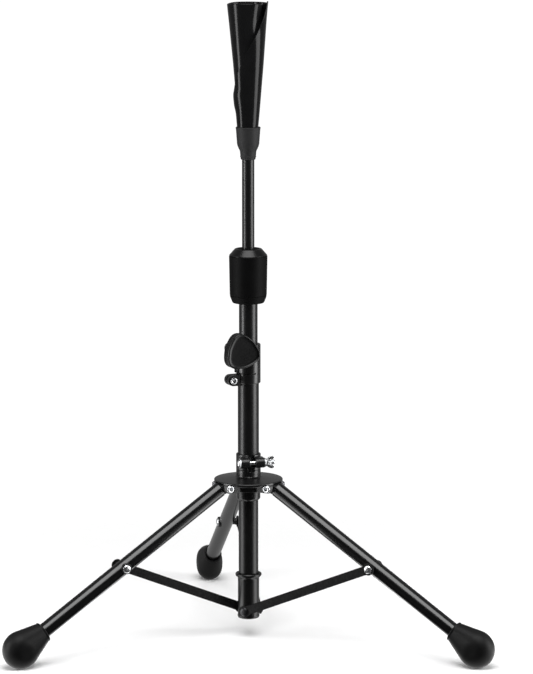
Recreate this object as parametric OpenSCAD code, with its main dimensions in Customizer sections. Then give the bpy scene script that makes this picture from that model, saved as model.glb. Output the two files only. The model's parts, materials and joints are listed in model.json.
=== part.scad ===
// Folding batting tee. A rolled rubber cone stands on a telescoping mast, and a
// hub with three braced legs carries the mast and folds down round its column.
// The origin is on the mast's axis at floor level. +Z is up and -Y is the front.

/* [Mast] */
// Outside diameter of the column tube
column_od = 26.4; // [25.6:0.2:27.2]
// Wall of the column tube and of the outer mast tube
thin_wall = 0.6; // [0.5:0.05:0.7]
// Radial gap between one mast tube and the next
slide_gap = 0.2; // [0.15:0.05:0.25]
// Outside diameter of the top rod
rod_od = 16.4; // [15.8:0.2:17]
// Height of the column's lower end above the floor
column_bottom = 27.6; // [25.6:0.5:29.6]
// Height of the top end of the column tube
column_top = 377; // [370:1:377]
// Height of the lower end of the inner mast tube
mid_bottom = 143; // [130:1:150]
// Height of the top rod's lower end
rod_bottom = 338; // [320:1:345]

/* [Legs] */
// Outside diameter of a leg tube
leg_od = 20; // [19:0.5:20]
// Slope of the open legs below the horizontal
leg_slope = 31.4; // [30:0.1:33]
// Distance from the mast's axis to a leg's pivot
pivot_r = 39; // [38.5:0.5:40]
// Height of the leg pivots
pivot_z = 209; // [208:0.5:209.5]
// Distance along a leg from its pivot to the brace's rivet
brace_reach = 177.5; // [160:0.5:190]
// Width of a brace
brace_w = 12; // [10:0.5:13]
// Distance of a brace from the leg's mid plane
brace_offset = 16.5; // [16.5:0.1:17]
// Radius of a foot's round end
foot_r = 25.4; // [25.4:0.1:26]
// Half of a foot's width across the leg
foot_half_w = 17.8; // [16:0.1:18]

/* [Hub] */
// Diameter of the hub's round top
hub_d = 92; // [91:0.5:93]
// Diameter of the clamp ring and its neck
hub_neck_d = 33; // [32.5:0.25:34]
// Direction of the hub clamp's split
hub_split_az = 283.5; // [270:0.5:300]

/* [Height clamp] */
// Outside diameter of the height clamp
clamp_d = 32.6; // [32:0.2:33.4]
// Direction of the height clamp's split
clamp_split_az = 203; // [190:1:215]
// Distance from the knob's centre to a lobe's tip
knob_r = 25; // [22:0.5:25]

/* [Ball cone] */
// Height of the cone's lower edge
cone_bottom = 688; // [680:1:700]
// Height of the cone's mouth
cone_top = 850; // [840:1:860]
// Outside diameter of the cone's mouth
cone_mouth_d = 54.6; // [50:0.2:60]
// Outside diameter of the cone's lower edge
cone_root_d = 30.4; // [29:0.2:33]
// Thickness of the rolled rubber sheet
cone_wall = 2.6; // [2:0.1:3]

/* [Hidden] */
$fn = 96;

// Each leg's direction, and the side of it that the pivot bolt's head is on
LEG_AZ = [210, 330, 99.5];
HEAD_SIDE = [1, -1, 1];

seat = 0.03;                       // gap between pieces fixed to each other
run = 0.08;                        // radial clearance on a pin that turns
lift = 0.1;                        // gap between flat faces that slide

// Mast tubes, from the outside in
mast_ir = column_od / 2 + slide_gap;
mast_or = mast_ir + thin_wall + 0.1;
column_or = column_od / 2;
column_ir = column_or - thin_wall;
mid_or = column_ir - slide_gap;
mid_ir = mid_or - 1;
rod_or = rod_od / 2;
rod_ir = rod_or - 1.4;
mast_top = 380;
mid_top = 471;
rod_top = 704;

// Column foot
sleeve_or = 14.3;
sleeve_h = 60.6;
lip_or = 17.5;

// Hub heights, from the neck's lower end to the clamp ring's top
hub_z = 187;
body_z = 203;
rim_z = 212.3;
rim_top_z = 216.8;
dome_z = 219.6;
slit_z = 228.2;
ring_top_z = 250.9;
mast_seat_z = 217;
hub_r = hub_d / 2;
neck_r = hub_neck_d / 2;
hub_body_r = 30;

// Leg pivot: slot in the hub, cheeks on both sides, bolt
slot_half = leg_od / 2 + 0.6;
cheek_half = 18.5;
spot_depth = 0.6;
tongue_r = 6;
pivot_bolt_r = 3;
pivot_head_r = 5.3;
pivot_nut_r = 5.3;
tube_start = 6.1;
insert_len = 34;

// Foot and leg ends
foot_ball_z = foot_r - 0.8;
foot_s = (pivot_z - foot_ball_z) / sin(leg_slope);
foot_neck = 38.8;
neck_half_w = 11.75;
tube_end = foot_s - 14;

// Brace pins: the leg end Q and the column end B, in the leg's own plane
base_pin_r = 3;
base_pin_z = 37.2;
leg_pin_r = pivot_r + brace_reach * cos(leg_slope);
leg_pin_z = pivot_z - brace_reach * sin(leg_slope);
brace_len = norm([leg_pin_r - base_pin_r, leg_pin_z - base_pin_z]);
brace_rise = atan2(leg_pin_z - base_pin_z, leg_pin_r - base_pin_r);
brace_t = 2;
brace_eye_r = 8;
rivet_r = 2.5;
rivet_head_r = 5.5;
washer_r = 7.3;
brace_in = brace_offset - brace_t / 2;
brace_out = brace_offset + brace_t / 2;

// Hub clamp bolt, across the split
hub_bolt_x = 22;
hub_bolt_z = 241.5;
hub_bolt_r = 3;
split_half = 4;
lug_out = 16;
lug_r = 6.8;

// Height clamp
clamp_z = 346.5;
clamp_top_z = 399.2;
clamp_r = clamp_d / 2;
clamp_slit_z = 359.6;
ear_in = 1.5;
ear_out = 8;
screw_x = 24.5;
screw_z = 351.5;
screw_ear_r = 7.2;
knob_x = 24;
knob_z = 394;
knob_ear_r = 7.5;
screw_r = 2.5;
knob_bolt_r = 4;
knob_neck_r = 7;
knob_in = 24;
knob_out = 40;
knob_turn = 76.4;
knob_side_r = 33;
knob_side_x = 12.2;

// Twist collar
collar_z = 454.3;
collar_seam_z = 464.2;
collar_wide_z = 517.4;
collar_top_z = 526.5;
spigot_top_z = 505;

// Rubber boot and the wooden plug in the cone
boot_z = 644.8;
plug_top_z = 718;

// ---- helpers ----

// A round bar along Y from y0 to y1, centred on x and z
module bar_y(r, y0, y1, x = 0, z = 0, sides = $fn)
    translate([x, y0, z]) rotate([-90, 0, 0]) cylinder(r = r, h = y1 - y0, $fn = sides);

// A low round head on a bar along Y, from y0 out to y1 on either side
module button_head(r, y0, y1, x = 0, z = 0) {
    s = sign(y1 - y0);
    translate([x, y0, z]) rotate([-90 * s, 0, 0]) rotate_extrude()
        polygon([[0, 0], [r, 0], [r, 0.35 * abs(y1 - y0)], [0.72 * r, abs(y1 - y0)],
                 [0, abs(y1 - y0)]]);
}

module tube(r_out, r_in, z0, z1) difference() {
    translate([0, 0, z0]) cylinder(r = r_out, h = z1 - z0);
    translate([0, 0, z0 - 1]) cylinder(r = r_in, h = z1 - z0 + 2);
}

// X outwards along leg i, Y across it, Z up
module leg_plane(i) rotate([0, 0, LEG_AZ[i]]) children();

// Z down along leg i from its pivot, X towards its underside
module leg_frame(i)
    leg_plane(i) translate([pivot_r, 0, pivot_z]) rotate([0, 90 + leg_slope, 0]) children();

// X along brace i from its column pin to its leg pin
module brace_frame(i)
    leg_plane(i) translate([base_pin_r, 0, base_pin_z]) rotate([0, -brace_rise, 0]) children();

module hub_split() rotate([0, 0, hub_split_az]) children();
module clamp_split() rotate([0, 0, clamp_split_az]) children();

// ---- hub and outer mast ----

module hub_core() rotate_extrude() polygon([
    [0, hub_z], [neck_r - 3.2, hub_z], [neck_r - 0.5, hub_z + 3], [neck_r - 0.5, body_z],
    [hub_body_r, body_z], [hub_body_r, rim_z], [hub_r - 1.5, rim_z], [hub_r, rim_z + 1],
    [hub_r, rim_top_z - 0.8], [hub_r - 0.8, rim_top_z], [neck_r + 1.5, dome_z],
    [neck_r, dome_z + 1.5], [neck_r, ring_top_z - 0.6], [neck_r - 0.6, ring_top_z],
    [0, ring_top_z]]);

module hub_cheeks(i) leg_plane(i) intersection() {
    translate([0, 0, body_z]) cylinder(r = hub_r - 0.4, h = rim_z - body_z + 1);
    for (m = [0, 1]) mirror([0, m, 0])
        translate([12, slot_half - 1, body_z - 1])
            cube([60, cheek_half + spot_depth - slot_half + 1, 12]);
}

// Room for leg i to swing down, its bolt hole, and flats for head and nut
module hub_leg_room(i) leg_plane(i) {
    bar_y(tongue_r + 0.4, -slot_half, slot_half, pivot_r, pivot_z);
    intersection() {
        bar_y(leg_od / 2 + 1.9, -slot_half, slot_half, pivot_r, pivot_z);
        translate([0, -50, pivot_z - 50]) cube([100, 100, 50]);
    }
    translate([pivot_r, -slot_half, body_z - 10])
        cube([40, 2 * slot_half, pivot_z + tongue_r + 0.4 - body_z + 10]);
    bar_y(pivot_bolt_r + seat, -60, 60, pivot_r, pivot_z);
    for (m = [0, 1]) mirror([0, m, 0])
        bar_y(pivot_head_r + 0.7, cheek_half, cheek_half + 22, pivot_r, pivot_z);
}

module hub_clamp_lugs() hub_split() for (s = [-1, 1]) {
    y0 = min(s * split_half, s * lug_out);
    y1 = max(s * split_half, s * lug_out);
    bar_y(lug_r, y0, y1, hub_bolt_x, hub_bolt_z);
    translate([12, y0, hub_bolt_z - lug_r]) cube([hub_bolt_x - 12, y1 - y0, 2 * lug_r]);
}

module hub_casting() color("#1b1b1d") difference() {
    union() {
        hub_core();
        for (i = [0 : 2]) hub_cheeks(i);
        hub_clamp_lugs();
    }
    translate([0, 0, hub_z - 1]) cylinder(r = column_or + slide_gap, h = 80);
    translate([0, 0, mast_seat_z]) cylinder(r = mast_or + seat, h = 80);
    for (i = [0 : 2]) hub_leg_room(i);
    hub_split() {
        translate([8, -split_half, slit_z + 0.5]) cube([40, 2 * split_half, 40]);
        translate([-5, -40, slit_z]) cube([60, 80, 1.2]);
        bar_y(hub_bolt_r + seat, -40, 40, hub_bolt_x, hub_bolt_z);
    }
}

module mast_tube() color("#29292b") tube(mast_or, mast_ir, mast_seat_z + seat, mast_top);

module hub_clamp_bolt() color("#c9cbce") hub_split() {
    bar_y(hub_bolt_r - 0.05, -lug_out, 31, hub_bolt_x, hub_bolt_z);
    bar_y(lug_r, -lug_out - 1.4, -lug_out, hub_bolt_x, hub_bolt_z);
    button_head(4.4, -lug_out - 1.4, -lug_out - 4, hub_bolt_x, hub_bolt_z);
}

module leg_pivot_bolts() color("#d6d8da") for (i = [0 : 2]) leg_plane(i)
    mirror([0, (1 - HEAD_SIDE[i]) / 2, 0]) difference() {
        union() {
            bar_y(pivot_bolt_r, -22.2, cheek_half, pivot_r, pivot_z);
            button_head(pivot_head_r, cheek_half, cheek_half + 3.2, pivot_r, pivot_z);
        }
        bar_y(2.2, cheek_half + 1, cheek_half + 5, pivot_r, pivot_z, 6);
    }

module leg_pivot_nuts() color("#8d8f92") for (i = [0 : 2]) leg_plane(i)
    mirror([0, (1 - HEAD_SIDE[i]) / 2, 0]) difference() {
        bar_y(pivot_nut_r, -cheek_half - 3.6, -cheek_half, pivot_r, pivot_z, 6);
        bar_y(pivot_bolt_r + seat, -30, -10, pivot_r, pivot_z);
    }

// ---- height clamp ----

module clamp_ears(x, z, r) for (s = [-1, 1]) {
    y0 = min(s * ear_in, s * ear_out);
    bar_y(r, y0, y0 + ear_out - ear_in, x, z);
    translate([12, y0, z - r]) cube([x - 12, ear_out - ear_in, 2 * r]);
}

module height_clamp() color("#1b1b1d") difference() {
    union() {
        rotate_extrude() polygon([
            [0, clamp_z], [clamp_r - 0.8, clamp_z], [clamp_r, clamp_z + 0.8],
            [clamp_r, clamp_top_z - 0.8], [clamp_r - 0.8, clamp_top_z], [0, clamp_top_z]]);
        clamp_split() {
            clamp_ears(screw_x, screw_z, screw_ear_r);
            clamp_ears(knob_x, knob_z, knob_ear_r);
            translate([clamp_r - 2, -5, clamp_slit_z]) cube([4, 10, 30]);
        }
    }
    translate([0, 0, clamp_z - 5]) cylinder(r = mast_or + seat, h = mast_top - clamp_z + 5);
    translate([0, 0, clamp_z]) cylinder(r = mid_or + lift, h = 80);
    clamp_split() {
        translate([8, -ear_in, clamp_z - 5]) cube([50, 2 * ear_in, 80]);
        translate([-4, -40, clamp_slit_z]) cube([60, 80, 1.2]);
        bar_y(screw_r + 0.1, -30, 30, screw_x, screw_z);
        bar_y(knob_bolt_r + seat, -30, 30, knob_x, knob_z);
        translate([clamp_r + 3, -30, screw_z + screw_ear_r]) cube([30, 60, 25]);
    }
}

module height_clamp_screw() color("#d6d8da") clamp_split() difference() {
    union() {
        bar_y(screw_r, -ear_out - 5, ear_out, screw_x, screw_z);
        button_head(4.7, ear_out, ear_out + 2.6, screw_x, screw_z);
    }
    bar_y(2.1, ear_out + 0.6, ear_out + 5, screw_x, screw_z, 6);
}

module height_clamp_nut() color("#8d8f92") clamp_split() difference() {
    bar_y(4.9, -ear_out - 4, -ear_out, screw_x, screw_z, 6);
    bar_y(screw_r + seat, -ear_out - 10, 0, screw_x, screw_z);
}

module knob_bolt() color("#2b2b2d") clamp_split() {
    bar_y(knob_bolt_r - 0.05, -ear_out, knob_in + 6, knob_x, knob_z);
    button_head(5.4, -ear_out, -ear_out - 3, knob_x, knob_z);
}

module knob_washer() color("#303033") clamp_split() difference() {
    bar_y(7.3, ear_out + 0.05, ear_out + 1.5, knob_x, knob_z);
    bar_y(knob_bolt_r + run, 0, 30, knob_x, knob_z);
}

// Three lobes: three large circles trimmed by a round one
module knob_outline() intersection() {
    circle(r = knob_r);
    intersection_for (k = [0 : 2]) rotate(knob_turn + 60 + 120 * k)
        translate([-knob_side_x, 0]) circle(r = knob_side_r);
}

module clamp_knob() color("#161617") clamp_split() difference() {
    union() {
        bar_y(knob_neck_r, ear_out + 1.6, knob_in, knob_x, knob_z);
        translate([knob_x, knob_out, knob_z]) rotate([90, 0, 0])
            linear_extrude(knob_out - knob_in) knob_outline();
    }
    bar_y(knob_bolt_r + 0.03, 0, knob_in + 8, knob_x, knob_z);
}

// ---- hub clamp's wing nut ----

module wing_washer() color("#c9cbce") hub_split() difference() {
    bar_y(6.4, lug_out + 0.05, lug_out + 1.5, hub_bolt_x, hub_bolt_z);
    bar_y(hub_bolt_r + run, 0, 40, hub_bolt_x, hub_bolt_z);
}

module wing_nut() color("#d6d8da") hub_split()
    translate([hub_bolt_x, lug_out + 1.6, hub_bolt_z]) difference() {
        union() {
            bar_y(5.2, 0, 7.5);
            for (s = [-1, 1]) rotate([-s * 34, 0, 0]) {
                translate([-0.9, 2.5, min(0, s * 10)]) cube([1.8, 6, 10]);
                translate([-0.9, 5.5, s * 10]) rotate([0, 90, 0]) cylinder(r = 3, h = 1.8);
            }
        }
        bar_y(hub_bolt_r, -1, 20);
    }

// ---- column ----

module column_tube() color("#29292b")
    tube(column_or, column_ir, column_bottom + 2, column_top);

module column_sleeve() color("#232325") rotate_extrude() polygon([
    [column_or + seat, column_bottom], [sleeve_or + 0.4, column_bottom],
    [sleeve_or + 0.4, column_bottom + 2.4], [sleeve_or, column_bottom + 3.2],
    [sleeve_or, column_bottom + sleeve_h - 5], [lip_or - 0.8, column_bottom + sleeve_h - 4.4],
    [lip_or, column_bottom + sleeve_h - 3.4], [lip_or, column_bottom + sleeve_h - 1.4],
    [lip_or - 0.8, column_bottom + sleeve_h - 0.4], [column_or + 1.4, column_bottom + sleeve_h - 1.4],
    [column_or + seat, column_bottom + sleeve_h - 1.4]]);

module column_end_plug() color("#1f1f20") rotate_extrude() polygon([
    [0, column_bottom - 1.4], [sleeve_or - 0.6, column_bottom - 1.4],
    [sleeve_or - 0.2, column_bottom], [column_or, column_bottom],
    [column_or, column_bottom + 2], [column_ir - seat, column_bottom + 2],
    [column_ir - seat, column_bottom + 30], [column_ir - 2.5, column_bottom + 30],
    [column_ir - 2.5, column_bottom + 4], [0, column_bottom + 4]]);

// ---- legs ----

module leg_tube(i) color("#202022") leg_frame(i) difference() {
    tube(leg_od / 2, leg_od / 2 - 1.2, tube_start, tube_end);
    bar_y(rivet_r + seat, -30, 30, 0, brace_reach);
}

module leg_insert(i) color("#151516") leg_frame(i) difference() {
    union() {
        bar_y(tongue_r, -slot_half + 0.4, slot_half - 0.4);
        translate([-tongue_r, -slot_half + 0.4, 0])
            cube([2 * tongue_r, 2 * slot_half - 0.8, tube_start]);
        translate([0, 0, tube_start])
            cylinder(r = leg_od / 2 - 1.2 - seat, h = insert_len - tube_start);
    }
    bar_y(pivot_bolt_r + run, -30, 30);
}

module foot_outline() hull() {
    translate([0, 0, foot_s]) rotate([90, 0, 0]) rotate_extrude($fn = 48) intersection() {
        translate([foot_r - foot_half_w, 0]) circle(r = foot_half_w, $fn = 32);
        translate([0, -30]) square([60, 60]);
    }
    for (x = [-1.75, 1.75]) translate([x, 0, foot_s - foot_neck])
        cylinder(r = neck_half_w, h = 4, $fn = 32);
}

module leg_foot(i) color("#101011") difference() {
    leg_frame(i) foot_outline();
    leg_frame(i) translate([0, 0, foot_s - foot_neck - 5])
        cylinder(r = leg_od / 2 + seat, h = foot_neck - 9 + seat);
    translate([-600, -600, -100]) cube([1200, 1200, 100]);
}

// A round piece across leg i, trimmed to sit on the round tube
module saddle(i, r, y0, y1) leg_frame(i) difference() {
    bar_y(r, y0, y1, 0, brace_reach);
    cylinder(r = leg_od / 2 + seat, h = 2 * brace_reach);
    bar_y(rivet_r + seat, -30, 30, 0, brace_reach);
}

module brace_spacer(i) color("#101011") saddle(i, 4.6, -brace_in + lift, -5);
module rivet_washer(i) color("#101011") saddle(i, washer_r, 6, leg_od / 2 + 1);

module brace_rivet(i) color("#cfd1d3") leg_frame(i) {
    bar_y(rivet_r, -brace_out - lift, leg_od / 2 + 1, 0, brace_reach);
    button_head(rivet_head_r, leg_od / 2 + 1, leg_od / 2 + 3.4, 0, brace_reach);
    button_head(rivet_head_r, -brace_out - lift, -brace_out - lift - 2.4, 0, brace_reach);
}

module brace(i) color("#1a1a1b") brace_frame(i) difference() {
    union() {
        bar_y(brace_eye_r, -brace_out, -brace_in);
        bar_y(brace_eye_r, -brace_out, -brace_in, brace_len);
        translate([0, -brace_out, -brace_w / 2]) cube([brace_len, brace_t, brace_w]);
    }
    bar_y(rivet_r + seat, -30, 0);
    bar_y(rivet_r + run, -30, 0, brace_len);
}

module base_rivet(i) color("#19191a") brace_frame(i) {
    bar_y(rivet_r, -brace_out, -sleeve_or - 0.5);
    button_head(6, -brace_out, -brace_out - 2.6);
}

// ---- inner mast and twist collar ----

module inner_tube() color("#29292b") tube(mid_or, mid_ir, mid_bottom, mid_top);

module inner_tube_guide() color("#d8d8d4") {
    tube(column_ir - lift, mid_ir - 2, mid_bottom - 3, mid_bottom - seat);
    tube(mid_ir - seat, mid_ir - 2, mid_bottom - seat, mid_bottom + 15);
}

module collar_base() color("#1c1c1d") rotate_extrude() polygon([
    [mid_or + seat, collar_z], [20.6, collar_z], [21, collar_z + 0.5],
    [24.3, collar_seam_z - 1.4], [24.3, collar_seam_z], [17, collar_seam_z],
    [17, spigot_top_z], [15, spigot_top_z], [15, mid_top + seat], [mid_or + seat, mid_top + seat]]);

module collar_collet() color("#d8d8d4") difference() {
    rotate_extrude() polygon([
        [rod_or + lift, mid_top + 0.4], [14.8, mid_top + 0.4], [14.8, spigot_top_z - 12],
        [12, spigot_top_z + 1], [rod_or + lift, spigot_top_z + 1]]);
    for (a = [0 : 120 : 240]) rotate(a)
        translate([0, -0.8, spigot_top_z - 20]) cube([20, 1.6, 40]);
}

module collar_shell() color("#141415") rotate_extrude() polygon([
    [17.3, collar_seam_z + 0.3], [24.3, collar_seam_z + 0.3], [24.5, collar_seam_z + 0.8],
    [25.5, collar_wide_z - 1.6], [25.5, collar_wide_z], [18, collar_top_z - 0.6],
    [17.2, collar_top_z], [16.4, collar_top_z], [15.6, collar_top_z - 0.8],
    [14.8, collar_top_z - 7], [rod_or + 0.8, collar_top_z - 9],
    [rod_or + 0.8, spigot_top_z + 2], [17.3, spigot_top_z + 2]]);

// ---- top rod and ball cone ----

module top_rod() color("#29292b") tube(rod_or, rod_ir, rod_bottom, rod_top);

module rod_guide() color("#d8d8d4") {
    tube(mid_ir - slide_gap, rod_ir - 2, rod_bottom - 2, rod_bottom - seat);
    tube(mid_ir - slide_gap, rod_or + seat, rod_bottom - seat, rod_bottom + 14);
}

module rubber_boot() color("#121213") translate([0, 0, boot_z]) rotate_extrude() polygon([
    [rod_or + seat, 0], [9.6, 0], [9.9, 0.9], [9.9, 3.1], [10.7, 3.9],
    [10.8, 11.2], [12.4, 14.2], [13.9, 17.6], [14.6, 20.5], [16, cone_bottom - boot_z - 3],
    [16.4, cone_bottom - boot_z - 1.2], [16.2, cone_bottom - boot_z - 0.2],
    [rod_or + seat, cone_bottom - boot_z - 0.2]]);

// Inside radius of the cone at height z
function cone_ir(z) = cone_root_d / 2 - cone_wall
    + (cone_mouth_d - cone_root_d) / 2 * (z - cone_bottom) / (cone_top - cone_bottom);

module cone_plug() color("#b9a37c") difference() {
    rotate_extrude() polygon([
        [0, cone_bottom], [cone_ir(cone_bottom) - seat, cone_bottom],
        [cone_ir(plug_top_z) - seat, plug_top_z], [0, plug_top_z]]);
    translate([0, 0, cone_bottom - 1]) cylinder(r = rod_or + seat, h = rod_top - cone_bottom + 1);
}

module ball_cone() color("#17181a") rotate_extrude() polygon([
    [cone_root_d / 2 - cone_wall, cone_bottom], [cone_root_d / 2, cone_bottom],
    [cone_mouth_d / 2, cone_top], [cone_mouth_d / 2 - cone_wall, cone_top]]);

// ---- every node ----

hub_casting();
mast_tube();
hub_clamp_bolt();
leg_pivot_bolts();
leg_pivot_nuts();
height_clamp();
height_clamp_screw();
height_clamp_nut();
knob_bolt();
column_tube();
column_sleeve();
column_end_plug();
leg_tube(0);  // leg_tube_left
leg_insert(0);  // leg_insert_left
leg_foot(0);  // leg_foot_left
brace_rivet(0);  // brace_rivet_left
brace_spacer(0);  // brace_spacer_left
rivet_washer(0);  // rivet_washer_left
leg_tube(1);  // leg_tube_right
leg_insert(1);  // leg_insert_right
leg_foot(1);  // leg_foot_right
brace_rivet(1);  // brace_rivet_right
brace_spacer(1);  // brace_spacer_right
rivet_washer(1);  // rivet_washer_right
leg_tube(2);  // leg_tube_rear
leg_insert(2);  // leg_insert_rear
leg_foot(2);  // leg_foot_rear
brace_rivet(2);  // brace_rivet_rear
brace_spacer(2);  // brace_spacer_rear
rivet_washer(2);  // rivet_washer_rear
brace(0);  // brace_left
base_rivet(0);  // base_rivet_left
brace(1);  // brace_right
base_rivet(1);  // base_rivet_right
brace(2);  // brace_rear
base_rivet(2);  // base_rivet_rear
inner_tube();
inner_tube_guide();
collar_base();
collar_collet();
collar_shell();
top_rod();
rod_guide();
rubber_boot();
cone_plug();
ball_cone();
knob_washer();
clamp_knob();
wing_washer();
wing_nut();
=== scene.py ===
import json
import math

import bmesh
import bpy
from mathutils import Matrix, Vector, noise
from mathutils.bvhtree import BVHTree


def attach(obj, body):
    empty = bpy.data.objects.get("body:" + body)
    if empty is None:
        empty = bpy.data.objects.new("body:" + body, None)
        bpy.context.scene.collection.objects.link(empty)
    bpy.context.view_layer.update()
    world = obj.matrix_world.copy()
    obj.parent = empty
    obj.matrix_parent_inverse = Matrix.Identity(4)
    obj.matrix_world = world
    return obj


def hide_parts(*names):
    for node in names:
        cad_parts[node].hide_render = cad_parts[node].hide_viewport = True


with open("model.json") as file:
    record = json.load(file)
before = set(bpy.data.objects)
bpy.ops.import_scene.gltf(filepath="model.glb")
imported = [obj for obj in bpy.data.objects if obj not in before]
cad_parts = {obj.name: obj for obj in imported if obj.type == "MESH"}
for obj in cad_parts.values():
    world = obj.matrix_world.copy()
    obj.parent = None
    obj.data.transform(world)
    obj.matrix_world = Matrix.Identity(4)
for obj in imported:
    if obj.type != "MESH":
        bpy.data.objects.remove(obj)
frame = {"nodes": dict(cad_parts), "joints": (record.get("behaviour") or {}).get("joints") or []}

# Looks of a folding batting tee: each piece is built in mesh code around the CAD frame.
# Lengths in this file are millimetres until a piece is made; MM turns them into metres.

MM = 0.001
TAU = 2 * math.pi
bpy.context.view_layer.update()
NODES = frame["nodes"]
JOINTS = {j["name"]: j for j in frame["joints"]}
SIDES = ("left", "right", "rear")


# ---------------------------------------------------------------- places

def place_of(origin, z_axis, x_axis):
    """A frame with its origin in mm, Z along z_axis and X as near x_axis as it can be."""
    z = Vector(z_axis).normalized()
    y = z.cross(Vector(x_axis)).normalized()
    x = y.cross(z)
    m = Matrix((x, y, z)).transposed().to_4x4()
    m.translation = Vector(origin)
    return m


def local_points(node, place):
    """A CAD node's points in mm, in the frame place."""
    back = place.inverted()
    return [back @ (v.co / MM) for v in NODES[node].data.vertices]


def extent(node, place=Matrix.Identity(4)):
    pts = local_points(node, place)
    return (Vector(min(p[i] for p in pts) for i in range(3)),
            Vector(max(p[i] for p in pts) for i in range(3)))


def radii(node, place=Matrix.Identity(4)):
    """Least and greatest distance of a node's points from the frame's Z axis."""
    d = [math.hypot(p.x, p.y) for p in local_points(node, place)]
    return min(d), max(d)


UPRIGHT = Matrix.Identity(4)
UP = Vector((0, 0, 1))


class Leg:
    """Frames along one leg and its brace, worked out from the two fold joints."""

    def __init__(self, side):
        self.side = side
        hinge = JOINTS[f"leg_{side}_fold"]
        self.pivot = Vector(hinge["pos_m"]) / MM
        self.across = Vector(hinge["axis"])
        self.out = Vector((self.pivot.x, self.pivot.y, 0)).normalized()
        if self.out.cross(self.across).z < 0:
            self.across = -self.across
        self.pin = Vector(JOINTS[f"brace_{side}_fold"]["pos_m"]) / MM
        self.along = (self.pin - self.pivot).normalized()
        under = self.across.cross(self.along)
        self.tube = place_of(self.pivot, self.along, under)
        flat = place_of((0, 0, 0), self.across, self.out)
        lo, hi = extent(f"base_rivet_{side}", flat)
        centre = (lo + hi) / 2
        self.base = flat @ Vector((centre.x, centre.y, 0))
        self.brace = place_of(self.base, self.across, self.pin - self.base)
        self.length = (self.pin - self.base).length


# ---------------------------------------------------------------- meshes

def rounded(points, steps=4, loop=False):
    """The outline through (r, z, fillet) points, with arcs at the corners."""
    out, n = [], len(points)
    for i, p in enumerate(points):
        b = Vector(p[:2])
        f = p[2] if len(p) > 2 else 0
        if not f or (not loop and i in (0, n - 1)):
            out.append(b)
            continue
        a, c = Vector(points[i - 1][:2]), Vector(points[(i + 1) % n][:2])
        la, lc = (a - b).length, (c - b).length
        u, v = (a - b) / la, (c - b) / lc
        half = u.angle(v) / 2
        reach = min(f / math.tan(half), 0.46 * la, 0.46 * lc)
        radius = reach * math.tan(half)
        middle = b + (u + v).normalized() * (radius / math.sin(half))
        s, e = b + u * reach - middle, b + v * reach - middle
        sweep = s.angle(e)
        guard = 0.35 * f
        if la > 2.4 * (reach + guard):
            out.append(b + u * (reach + guard))
        for k in range(steps + 1):
            t = k / steps
            w = (s * math.sin((1 - t) * sweep) + e * math.sin(t * sweep)) / math.sin(sweep)
            out.append(middle + w)
        if lc > 2.4 * (reach + guard):
            out.append(b + v * (reach + guard))
    return out


def skin(bm, rings, loop=False):
    """Faces between successive rings of points. A ring of one point is a pole."""
    made = [[bm.verts.new(p) for p in ring] for ring in rings]
    n = max(len(r) for r in made)
    pairs = list(zip(made, made[1:]))
    if loop:
        pairs.append((made[-1], made[0]))
    for a, b in pairs:
        if len(a) == 1 and len(b) == 1:
            continue
        for i in range(n):
            j = (i + 1) % n
            corners = [a[i % len(a)], a[j % len(a)], b[j % len(b)], b[i % len(b)]]
            bm.faces.new(list(dict.fromkeys(corners)))


def circle_ring(place, r, z, sides, shape=None):
    if r < 1e-6 and shape is None:
        return [place @ Vector((0, 0, z))]
    ring = []
    for k in range(sides):
        a = TAU * k / sides
        s = r * (shape(a) if shape else 1)
        ring.append(place @ Vector((s * math.cos(a), s * math.sin(a), z)))
    return ring


def lathe(bm, points, place=UPRIGHT, sides=96, loop=False):
    profile = rounded(points, loop=loop)
    skin(bm, [circle_ring(place, p.x, p.y, sides) for p in profile], loop)


def hex_shape(a):
    """A hexagon's radius at angle a, for an inner radius of 1."""
    return 1 / math.cos((a + math.pi / 6) % (math.pi / 3) - math.pi / 6)


def socket_head(bm, place, r, height, z, shank, socket=0.5, deep=2.6):
    """A round screw head with a hexagon socket that runs down into its shank."""
    sides = 48
    foot = z - deep - 1
    outer = rounded([(0, foot), (shank, foot), (shank, z), (r, z, 0.1 * r),
                     (r, z + 0.7 * height, 0.2 * r), (0.82 * r, z + height, 0.18 * r),
                     (0.66 * r, z + height)], 4)
    rings = [circle_ring(place, p.x, p.y, sides) for p in outer]
    rim = socket * r
    core = min(rim, 0.8 * shank)
    rings.append(circle_ring(place, rim * 1.22, z + height, sides))
    for k, drop in ((1.03, 0.12), (1.0, 0.3), (1.0, height)):
        rings.append(circle_ring(place, rim * k, z + height - drop, sides, hex_shape))
    rings.append(circle_ring(place, core, z - 0.1, sides, hex_shape))
    rings.append(circle_ring(place, core, z - deep, sides, hex_shape))
    rings.append([place @ Vector((0, 0, z - deep - 0.4))])
    skin(bm, rings)


def hex_nut(bm, place, r, height, bore, z=0.0):
    """A hexagon nut with turned corners; r is half its width across flats."""
    sides = 48
    rings = []
    for zz, k, shaped in ((0.0, 0.96, False), (0.05, 1.0, False), (0.12, 1.0, True),
                          (0.88, 1.0, True), (0.95, 1.0, False), (1.0, 0.94, False)):
        rings.append(circle_ring(place, r * k, z + height * zz, sides,
                                 hex_shape if shaped else None))
    rings.append(circle_ring(place, bore + 0.5, z + height, sides))
    rings.append(circle_ring(place, bore, z + height - 0.4, sides))
    rings.append(circle_ring(place, bore, z, sides))
    skin(bm, rings, loop=True)


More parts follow.
